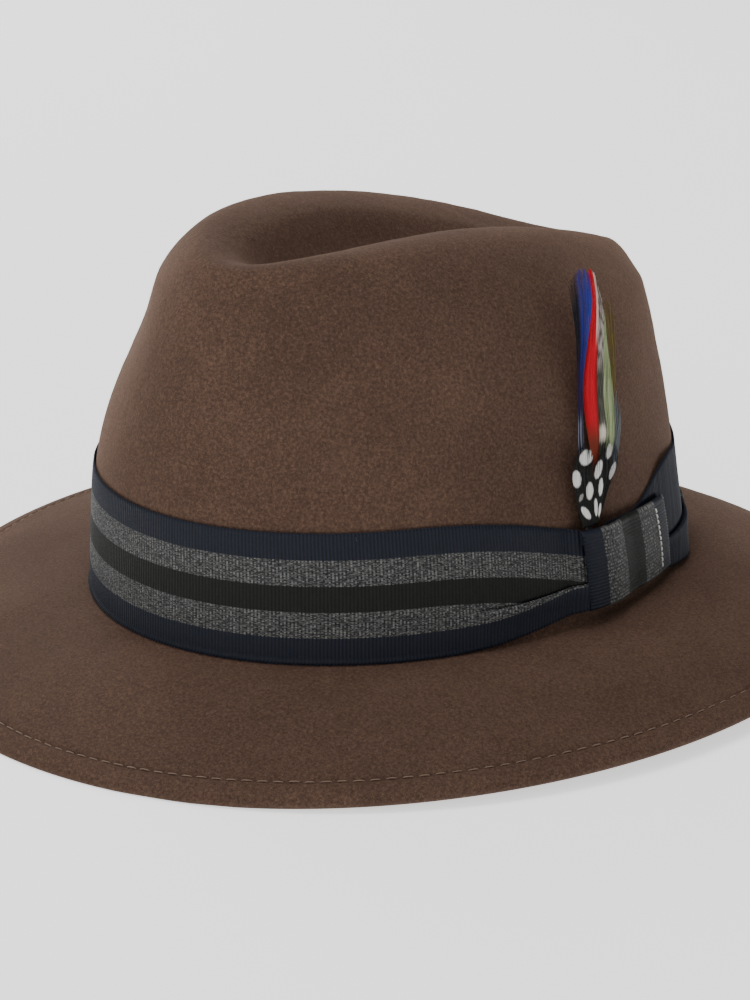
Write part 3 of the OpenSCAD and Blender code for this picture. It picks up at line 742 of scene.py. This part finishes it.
def keeper():
    """A ribbon folded round the band, its ribs running along it and a hem behind each edge."""
    cols, rows = 45, 4 * KEEPER_RIBS + 1
    s, q = np.linspace(0, 1, cols), np.linspace(0, 1, rows)[:, None]
    t = KEEPER_FROM + KEEPER_SPAN * s
    low, top, off = keeper_face(t)
    hem, r = 4.5, 0.55
    height = (top - low)[None]
    x = q * (height + 2 * hem)  # from one hem to the other
    a0, a1 = hem - math.pi * r / 2, hem + math.pi * r / 2
    b0, b1 = a0 + height, a1 + height
    upper = x >= b0
    turn = np.clip(np.where(upper, x - b0, x - a0) / r, 0, math.pi)
    nz, nd = np.sin(turn), np.cos(turn)
    nz, nd = np.where(upper, nz, -nz), np.where(upper, nd, -nd)
    z = r * nz + np.where(upper, top - r - np.maximum(x - b1, 0),
                          low + r + np.maximum(a0 - x, 0) + np.maximum(x - a1, 0))
    share = np.clip((z - low) / (top - low), 0, 1)
    curl = 0.35 * bell(s, 0, 0.02) + 0.35 * bell(s, 1, 0.02)
    d = off - r + keeper_puff(share, s) - curl + r * nd
    rib = np.cos(q * KEEPER_RIBS * TAU)
    half = SHEET / 2
    tt = t - (0.9 + 0.7 * s) * (z - 17) / 13
    tt[:, :1] -= 0.04 * rib
    tt[:, -1:] += 0.04 * rib
    front = place(wall_point(tt, z + nz * (half + 0.12 * rib), d + nd * (half + 0.12 * rib)))
    back = place(wall_point(tt, z - nz * half, d - nd * half))
    grid = join([front.transpose(1, 0, 2), back.transpose(1, 0, 2)[::-1]])
    stripe = np.interp(s, [0, 0.15, 0.37, 0.6, 0.82, 1], np.arange(6) / 5) * RIBBON_W
    uv = np.zeros((len(grid) + 1, rows, 2))
    uv[..., 0] = q[:, 0] * KEEPER_RIBS * RIB + 400.0
    uv[..., 1] = join([stripe, stripe[::-1], stripe[:1]])[:, None]
    return strip_object("bow_keeper_ribbon", grid, "striped_ribbon", "bow_keeper", uv)


def keeper_stitching():
    at = 15.4
    low, top, off = keeper_face(np.array([at]))
    h = np.linspace(0.12, 0.88, 11)
    z = low + h * (top - low)
    t = at - 1.5 * (z - 17) / 13
    d = off + keeper_puff(h, (at - KEEPER_FROM) / KEEPER_SPAN) + 0.2
    centre = place(wall_point(t, z, d))
    along = unit(np.gradient(centre, axis=0))
    return stitches("keeper_pick_stitches", centre, along, outward(t), 1.55, 0.26, 0.3, "pick_thread",
                    "keeper_edge_stitching")


# ---- inside of the hat
TO_ANGLE = 1.16  # a place across the back of the sweatband is divided by this to give degrees


def sweat_point(t, z, depth):
    return place(wall_point(t, z, -FELT - 0.8 - np.asarray(depth, float)))


def sweatband():
    nc = 260
    t = angles(nc)
    z = join([[0.8, 1.1, 1.8], np.linspace(3.0, 36.5, 16), [37.4, 37.9, SWEAT_H]])[:, None]
    roll = 0.32 * bell(z, 0.8, 0.5) + 0.32 * bell(z, SWEAT_H, 0.5)
    base = place(wall_point(t[None], z, -FELT - 1.0))
    sway = np.abs(0.45 * field(base, 0.03, 2, 3.0) * ease((z - 4) / 10))
    seam = 0.25 * bell(z, 3.0, 0.5)
    outer = sweat_point(t[None], z, sway + roll * 0.6)
    inner = sweat_point(t[None], z, 1.0 + sway - roll * 0.6 - seam)
    grid = join([outer, inner[::-1]])
    return ring_object("leather_sweatband", grid, "sweatband_leather", "sweatband")


def sweatband_reed():
    nc = 200
    t = angles(nc)
    a = np.radians(np.arange(12) * 30.0)[:, None]
    centre = sweat_point(t, 0.0, 0.5) - [0, 0, 0.3]
    r = 0.97 + 0.03 * np.cos(np.radians(t * 60))
    grid = centre[None] + (r * np.cos(a))[..., None] * outward(t)[None] + (r * np.sin(a))[..., None] * UP
    return ring_object("sweatband_reed_roll", grid, "reed_leather", "sweatband_reed")


def seam_stitching():
    count = round(math.pi * (HEAD_W + HEAD_L) / 2 / 5.0)
    t = angles(count)
    along = unit(sweat_point(t + 0.5, 3.0, 1.0) - sweat_point(t - 0.5, 3.0, 1.0))
    return stitches("sweatband_seam_stitches", sweat_point(t, 3.0, 0.95), along, -outward(t), 3.0, 0.2, 0.18,
                    "seam_thread", "sweatband_stitching")


def rear_bow():
    """Two soft loops and a knot of narrow ribbon, lying flat on the leather."""
    parts, faces, base = [], [], 0
    middle = SWEAT_H - 7.0
    m = 9
    e = np.linspace(-1, 1, m)[None]
    q = np.linspace(0, 1, 44)[:, None]
    arch = np.sin(q * math.pi)
    for way in (-1, 1):
        t = 90 - way * (0.6 + 7.6 * arch ** 0.9) / TO_ANGLE + 0 * e
        z = middle + 0.7 * np.cos(q * math.pi) + (0.55 + 2.6 * arch ** 0.8) * e
        d = 1.2 + 0.75 + 0.42 * np.cos(q * math.pi) * arch ** 0.25 + 0.10 * np.cos(e * 5)
        top, low = (sweat_point(t, z, d + side).transpose(1, 0, 2) for side in (0.1, -0.1))
        grid = join([top, low[::-1]])
        nr, nc = grid.shape[:2]
        parts.append(grid.reshape(-1, 3))
        faces += [grid_faces(nr, nc, True, False)[0] + base, strip_caps(nr, nc) + base]
        base += nr * nc
    n, m = 14, 18
    a, b = np.meshgrid(np.linspace(-1, 1, n), np.arange(m) / m * TAU, indexing="ij")
    r = np.sqrt(np.maximum(1 - a**4, 0.02))
    t = 90 - 1.35 * r * np.cos(b) / TO_ANGLE
    knot = sweat_point(t, middle + 1.75 * a + 0.08 * np.sin(b * 5), 1.95 + 0.62 * r * np.sin(b))
    parts.append(knot.reshape(-1, 3))
    faces += [f + base for f in (grid_faces(n, m, False, True)[0], *end_caps(n, m))]
    return make_object("sweatband_bow", join(parts), faces, "bow_ribbon", "sweatband_rear_bow")


def size_tag():
    wide, high, middle = 10.5, 4.4, SWEAT_H / 2 - 2
    x = np.linspace(-wide, wide, 25)[None]
    z = middle + np.linspace(-high, high, 15)[:, None]
    t = 90 - x / TO_ANGLE + 0 * z
    zz = z + 0 * x
    edge = np.maximum(np.abs(x) / wide, np.abs(zz - middle) / high)
    d = 1.25 + 0.12 * np.sin(x / 3.4) + 0.05 * np.cos(z * 1.1) + 0.07 * bell(edge, 0.9, 0.05)
    grid = join([sweat_point(t, zz, d + 0.14), sweat_point(t, zz, d - 0.12)[::-1]])
    return strip_object("blank_size_tag", grid, "tag_cloth", "size_tag")


def lining_side():
    nc = 360
    t = angles(nc)
    u = np.linspace(1.6, 3.7, 26)
    fold = 0.5 + 0.5 * np.sin(np.radians(t * 34) + 1.4 * np.sin(np.radians(t * 5)))
    k = (ease((u - 1.6) / 0.25) * (0.35 + 0.75 * (u - 1.6) / 2.1))[:, None]
    sway = 0.25 + k * fold[None] ** 2 * 1.1
    grid = place(join([crown_inside(t[None], u[:, None], FELT + sway),
                                 crown_inside(t[None], u[:, None], FELT + sway + 0.3)[::-1]]))
    return ring_object("lining_side_panel", grid, "lining_satin", "lining_side")


def lining_tip():
    nc = 240
    t = angles(nc)
    e = crown_inside(t, np.full(nc, 3.72), FELT + 1.3)
    w = join([np.linspace(0.02, 0.9, 36), [0.93, 0.955, 0.97, 0.985, 1.0]])[:, None]
    middle = 0.735 * CROWN_H - 3
    base = np.stack([e[:, 0] * w, e[:, 1] * w, e[:, 2] * w * w + middle * (1 - w * w)], -1)
    crease = 0.7 * field(base, 0.028, 3, 70.0) * ease((1 - w) / 0.2)
    pucker = 0.16 * np.sin(np.radians(t * 90))[None] * bell(w, 0.94, 0.04)
    sag = crease + pucker
    top = base + sag[..., None] * UP
    low = base + (sag - 0.3 - 0.55 * bell(w, 0.97, 0.012))[..., None] * UP
    grid = place(join([top, low[::-1]]))
    nr = len(grid)
    faces = [grid_faces(nr, nc, False, True)[0], *end_caps(nr, nc)]
    return make_object("lining_tip_panel", grid.reshape(-1, 3), faces, "lining_satin", "lining_tip")


# ---- feather trim
FOOT, HEAD = np.array([87.2, -8.9, 14.0]), np.array([77.5, -4.5, 106.0])
AXIS = unit(HEAD - FOOT)
SIDE = unit(np.cross(AXIS, [1.0, 0, 0]))
OUT = np.cross(SIDE, AXIS)


def trim_point(b, z, a):
    """b is sideways towards the back, z the height above the brim break, a away from the felt."""
    b, z, a = np.broadcast_arrays(*[np.asarray(v, float) for v in (b, z, a)])
    c = (z - FOOT[2]) / AXIS[2]
    return place(FOOT + a[..., None] * OUT + b[..., None] * SIDE + c[..., None] * AXIS)


def hackle(kind, outline, crest, layer, tint, count, seed, points=34, ragged=0.9, loose=0.10,
           shaft=(90, 70, 60)):
    """A feather of long fibres side by side. outline: height, left edge and right edge. crest: the heights
    at which the fibres end, from the left edge to the right one."""
    breed, *which = kind.split("_")
    rng = np.random.default_rng(seed)
    share = np.clip(np.linspace(-1, 1, count) + rng.uniform(-1, 1, count) / count, -1, 1)
    end = np.interp(share, np.linspace(-1, 1, len(crest)), crest) - rng.exponential(ragged, count)
    share = share[:, None]
    foot = outline[0][0]
    q = np.linspace(0, 1, points)[None]
    z = foot + (end[:, None] - foot) * q
    edge = lambda heights, k: spline(heights, [(row[0], row[k]) for row in outline])
    left, right = edge(z, 1), edge(z, 2)
    pitch, phase = rng.uniform(0.12, 0.34, (count, 1)), rng.uniform(0, TAU, (count, 1))
    lift = rng.normal(0, 0.06, (count, 1))
    b = (left + right) / 2 + share * (right - left) / 2 + loose * np.sin(z * pitch + phase) * q
    base = -0.75 + 0.36 * layer
    a = base + 0.5 * q**2 + 0.28 * (1 - share ** 2) * np.minimum(1, 4 * q) + lift * q
    radius = np.clip((right - left) / count * 0.85, 0.09, 0.21) * np.interp(q, [0, 0.86, 1], [1, 1, 0.25])
    paths = trim_point(b, z, a)
    across = np.cross(np.broadcast_to(OUT, paths.shape), unit(np.gradient(paths, axis=1)))
    verts, faces = tubes(paths, radius, np.full_like(radius, 0.06), across, 4)
    colors = np.repeat(tint(b, z, share, rng).reshape(-1, 3), 4, axis=0)
    k = np.linspace(0, 1, 24)
    height = foot + (min(crest) - 2 - foot) * k
    middle = (edge(height, 1) + edge(height, 2)) / 2
    stem = trim_point(middle, height, base - 0.15 + 0.5 * k**2)[None]
    r = np.interp(k, [0, 1], [0.2, 0.07])[None]
    stem_verts, stem_faces = tubes(stem, r, r, np.broadcast_to(SIDE, stem.shape), 8)
    faces += [f + len(verts) for f in stem_faces]
    colors = join([colors, np.tile(lin(*shaft), (len(stem_verts), 1))])
    verts = join([verts, stem_verts])
    node = "_".join([breed, "feather", *which])
    return make_object(f"{kind}_plume", verts, faces, f"{breed}_plume", node, "feather_trim", colors=colors)


def lin(*c):
    return np.array(srgb(*c)[:3])


def blend(a, b, f):
    return a + (b - a) * np.clip(f, 0, 1)[..., None]


# The colours of the fibres: b and z as in trim_point, side from -1 to 1 across the feather
def plain(dark, light, spread=0.25):
    def tint(b, z, side, rng):
        strand = rng.uniform(0, 1, (len(b), 1))
        out = blend(lin(*dark), lin(*light), strand + 0.25 * np.sin(z * 0.45 + strand * 9))
        return out * rng.uniform(1 - spread, 1 + spread, (len(b), 1, 1))
    return tint


def red_tint(b, z, side, rng):
    out = blend(lin(132, 2, 12), lin(214, 2, 34), 1.15 - side**2 + 0 * z)
    out = blend(out, lin(128, 52, 34), (63 - z) / 7)
    pale = np.clip((side - 0.35) / 0.2, 0, 1) * np.clip((z - 84) / 6, 0, 1)
    out = blend(out, lin(236, 206, 198), pale)
    return out * rng.uniform(0.72, 1.12, (len(b), 1, 1))


def blue_tint(b, z, side, rng):
    out = blend(lin(12, 12, 26), lin(34, 40, 128), (side + 0.5) / 0.35 + 0 * z)
    # the right side lighter: a painted highlight
    out = blend(out, lin(46, 54, 150), (side - 0.2) / 0.4 + 0 * z)
    out = blend(out, lin(40, 22, 62), (86 - z) / 14)
    out = blend(out, lin(18, 20, 42), (68 - z) / 8)
    pale = (rng.uniform(0, 1, (len(b), 1)) > 0.84) * np.clip((66 - z) / 4, 0, 0.8)
    return blend(out, lin(150, 152, 168), pale) * rng.uniform(0.65, 1.25, (len(b), 1, 1))


def grizzly_tint(b, z, side, rng):
    strand = rng.uniform(0, TAU, (len(b), 1))
    out = blend(lin(74, 66, 60), lin(206, 196, 188), 0.5 + 0.9 * np.sin(z * 1.1 + strand * 3))
    out = blend(out, lin(56, 60, 46), np.clip((80 - z) / 5, 0, 0.85))
    chip = np.hypot((b - 7.8) / 1.6, (z - 57.5) / 2.6)
    return blend(out, lin(232, 224, 204), (1.2 - chip) / 0.25)


# Each pale spot of the guinea feathers: place across and up, half width, half height, strength and slant
SPOTS = [(-3.4, 52.4, 3.1, 2.3, 1, 0), (-8.2, 46.7, 2.1, 2.6, 1, 0.2), (2.6, 47.5, 2.0, 2.6, 1, -0.35),
         (-2, 41.8, 1.7, 2.6, 1, 0), (3.8, 41.8, 1.2, 2.6, 1, -0.1), (-6.1, 40.6, 0.9, 1.1, 0.4, -0.5),
         (-3.9, 35.4, 1.5, 2.2, 1, 0.8), (1.1, 36.1, 0.9, 2.7, 1, 0.1), (3.3, 34.6, 0.8, 2.2, 1, -0.1),
         (8.6, 51.9, 1.4, 2.3, 0.9, -0.3), (10.2, 45.5, 1.4, 2.4, 0.7, -0.5)]


def guinea_tint(b, z, side, rng):
    out = np.broadcast_to(lin(14, 13, 11), b.shape + (3,))
    out = blend(out, lin(58, 66, 78), np.clip((b - 9) / 3, 0, 0.5) * (rng.uniform(0, 1, (len(b), 1)) > 0.5))
    for across, up, half_wide, half_high, strength, slant in SPOTS:
        d = np.hypot((b - across + slant * (z - up)) / half_wide, (z - up) / half_high)
        out = blend(out, lin(246, 245, 240), strength * np.clip((1.1 - d) / 0.16, 0, 1))
    return out * rng.uniform(0.86, 1.04, (len(b), 1, 1))


def quill_binding():
    """Bound quills: a fine thread wound round them and a thicker collar on top."""
    rows, nc = 150, 24
    k = np.linspace(0, 19.3, rows)[:, None]
    z = FOOT[2] + k * AXIS[2]
    a = np.arange(nc)[None] / nc * TAU
    wind = 0.05 * np.cos(k / 0.42 * TAU + a)
    r = 0.93 - 0.10 * bell(k, 0, 0.5) + wind + 0.03 * np.cos(5 * a)
    collar = ease((k - 17.9) / 0.25)
    out = r * (1 - collar) + (1.35 + wind) * collar
    across = r * (1 - collar) + (1.15 + wind) * collar
    flat = np.where(collar > 0.5, 0.98, 1)
    grid = trim_point(across * np.sin(a), z, 0.55 * collar + out * np.cos(a) * flat)
    faces = [grid_faces(rows, nc, False, True)[0], *end_caps(rows, nc)]
    return make_object("quill_binding", grid.reshape(-1, 3), faces, "binding_thread", "feather_binding",
                       "feather_trim")


def feathers():
    hackle("teal",
           [(34.5, 0.8, 2.4), (45, 9.6, 15), (50, 10.9, 16.8), (54, 11.7, 17.6), (60, 13.5, 18),
            (67, 14.6, 17.6), (70, 15, 17.5)],
           [64, 67, 70, 63, 66], 0, plain((34, 42, 54), (128, 136, 138), 0.3), 24, 21, ragged=2.5, loose=0.4)
    hackle("olive",
           [(33.5, 0.4, 1.6), (50, 9, 13), (61, 10.8, 14.2), (71, 12.6, 15.6), (78, 13, 16),
            (84, 12.4, 16.3), (90, 11.8, 16.2), (101, 12, 14.4)],
           [97, 99, 96], 1, plain((74, 60, 26), (118, 100, 48)), 20, 22, ragged=3, loose=0.3)
    hackle("green",
           [(33.5, 0.2, 1.6), (45, 6, 11), (51, 9, 13.3), (56, 8.8, 14.4), (61, 8.2, 14.6), (69, 7.8, 14),
            (78, 9.4, 12.8), (84, 9.9, 11.7), (91, 10, 10.8), (96, 9.8, 10.3)],
           [91, 95, 89], 2, plain((110, 124, 80), (180, 192, 150)), 40, 23, ragged=2)
    hackle("grizzly",
           [(33.5, 0, 1.4), (50, 3.5, 8), (58, 5.8, 10), (66, 5.4, 8.8), (73, 5.4, 8.6), (79, 5.8, 8.8),
            (85, 6.4, 9.4), (91, 7, 10), (98, 5.6, 8.8), (106, 4.6, 6.6)],
           [104, 104, 99], 3, grizzly_tint, 24, 24, ragged=1.5, loose=0.35)
    hackle("red",
           [(33.5, -0.8, 0.8), (44, 0.6, 4), (50, 1.5, 5), (56, 0.4, 5.5), (63, -1, 5.4), (70, -1.7, 5.1),
            (75, -1.6, 5.2), (80, -0.6, 5.7), (86, 0.8, 6.4), (92, 2, 6.8), (97, 2.6, 6.8), (101, 2.6, 6.4),
            (105, 2, 5.6), (109, 0.6, 5)],
           [107, 108.5, 106], 4, red_tint, 44, 25)
    hackle("blue",
           [(33.5, -1.2, 0.6), (45, -3.6, -1.4), (56, -5.6, -2.6), (63, -5.4, -2.7), (70, -5, -2.6),
            (75, -5, -2.2), (81, -5, -1), (87, -5, 0.7), (93, -5.5, 2.3), (98, -6.4, 3.2), (102, -7.2, 3),
            (106, -8.2, 2.2), (110, -8.4, 1.5)],
           [105, 107.5, 109, 109, 107], 5, blue_tint, 52, 26, shaft=(20, 18, 40))
    hackle("guinea_side",
           [(31.5, -0.5, 2.4), (35, 2, 5.4), (40, 4.4, 8.2), (43, 5.2, 10.4), (46, 5.8, 12.6), (49, 6, 13.4),
            (52, 6.2, 13.4), (55, 6.8, 12.4), (58, 7.5, 11.5)],
           [55, 57, 53, 56, 51], 6, guinea_tint, 40, 27, points=60, ragged=1.2, shaft=(40, 38, 36))
    hackle("guinea_front",
           [(30.8, -5.2, 2.4), (34, -6.4, 3.2), (37, -7.3, 4.2), (40, -8.1, 5.4), (43.5, -9, 6.6),
            (47, -9.9, 7.2), (50, -9.6, 7.5), (53, -8.8, 7.6), (58, -7.8, 7.4)],
           [54, 57, 57, 55.5, 50, 51.5, 55.5, 53], 7, guinea_tint, 66, 28, points=60, ragged=0.8,
           shaft=(40, 38, 36))


# ---- put together
hood = felt_body()
edge_stitching()
band, band_length = hat_band()
band_tacks()
keeper_piece = keeper()
keeper_stitching()
leather = sweatband()
sweatband_reed()
seam_stitching()
rear_bow()
size_tag()
side_panel = lining_side()
tip_panel = lining_tip()
quill_binding()
feathers()


# ---- floor, light and camera
def stage_floor():
    s = Shader("pale_floor")
    tone = s.noise(s.where(1.0), 3.0)
    s.set(Base_Color=s.greys(tone, (0.3, 0.86), (0.7, 0.88)), Roughness=0.7, Specular_IOR_Level=0.1,
          Emission_Color=grey(1.0), Emission_Strength=1.0)
    n = 40
    x, y = np.meshgrid(np.linspace(-30, 30, n), np.linspace(-30, 30, n), indexing="ij")
    verts = np.stack([x, y, np.full_like(x, -0.0002)], -1).reshape(-1, 3)
    me = bpy.data.meshes.new("floor")
    me.from_pydata(verts.tolist(), [], grid_faces(n, n, False, False)[0].tolist())
    me.materials.append(s.material)
    obj = bpy.data.objects.new("floor", me)
    scene.collection.objects.link(obj)


def aim(obj, position, toward):
    obj.location = position
    obj.rotation_mode = "QUATERNION"
    obj.rotation_quaternion = toward.to_track_quat("-Z", "Y")
    scene.collection.objects.link(obj)


def area_light(name, position, size, energy):
    """A round light that shines on the middle of the hat."""
    data = bpy.data.lights.new(name, "AREA")
    data.shape, data.size, data.energy = "DISK", size, energy
    aim(bpy.data.objects.new(name, data), position, Vector((0, 0, 0.06)) - Vector(position))


stage_floor()
area_light("overhead", (0, -0.1, 1.5), 0.8, 10.5)
area_light("left_back", (-1.2, 0.7, 0.9), 0.9, 10.0)
area_light("front", (0.35, -1.4, 0.9), 0.9, 6.5)
# soft light from all round, weaker from the wearer's left so that side falls off as in a studio
world = bpy.data.worlds.new("studio")
world.use_nodes = True
tree = world.node_tree
way = tree.nodes.new("ShaderNodeTexCoord").outputs["Generated"]
facing = tree.nodes.new("ShaderNodeVectorMath")
facing.operation = "DOT_PRODUCT"
facing.inputs[1].default_value = (0.766, 0.643, 0.0)
tree.links.new(way, facing.inputs[0])
fall = tree.nodes.new("ShaderNodeMapRange")
for key, value in {"From Min": -0.1, "From Max": 0.8, "To Min": 0.5, "To Max": 0.16}.items():
    fall.inputs[key].default_value = value
tree.links.new(facing.outputs["Value"], fall.inputs["Value"])
tree.nodes["Background"].inputs["Color"].default_value = (1.0, 1.0, 1.0, 1.0)
tree.links.new(fall.outputs["Result"], tree.nodes["Background"].inputs["Strength"])
scene.world = world

# the camera stands one metre from the middle of the brim break
lens = bpy.data.cameras.new("camera")
lens.lens, lens.sensor_width, lens.shift_x, lens.shift_y = 110.95, 36.0, -0.0149, 0.0498
lens.clip_start, lens.clip_end = 0.05, 100.0
camera = bpy.data.objects.new("camera", lens)
turn, rise = math.radians(40.0), math.radians(20.3)
back = Vector((math.sin(turn) * math.cos(rise), -math.cos(turn) * math.cos(rise), math.sin(rise)))
aim(camera, Vector((0, CROWN_Y, BREAK_Z)) * MM + back, -back)
scene.camera = camera
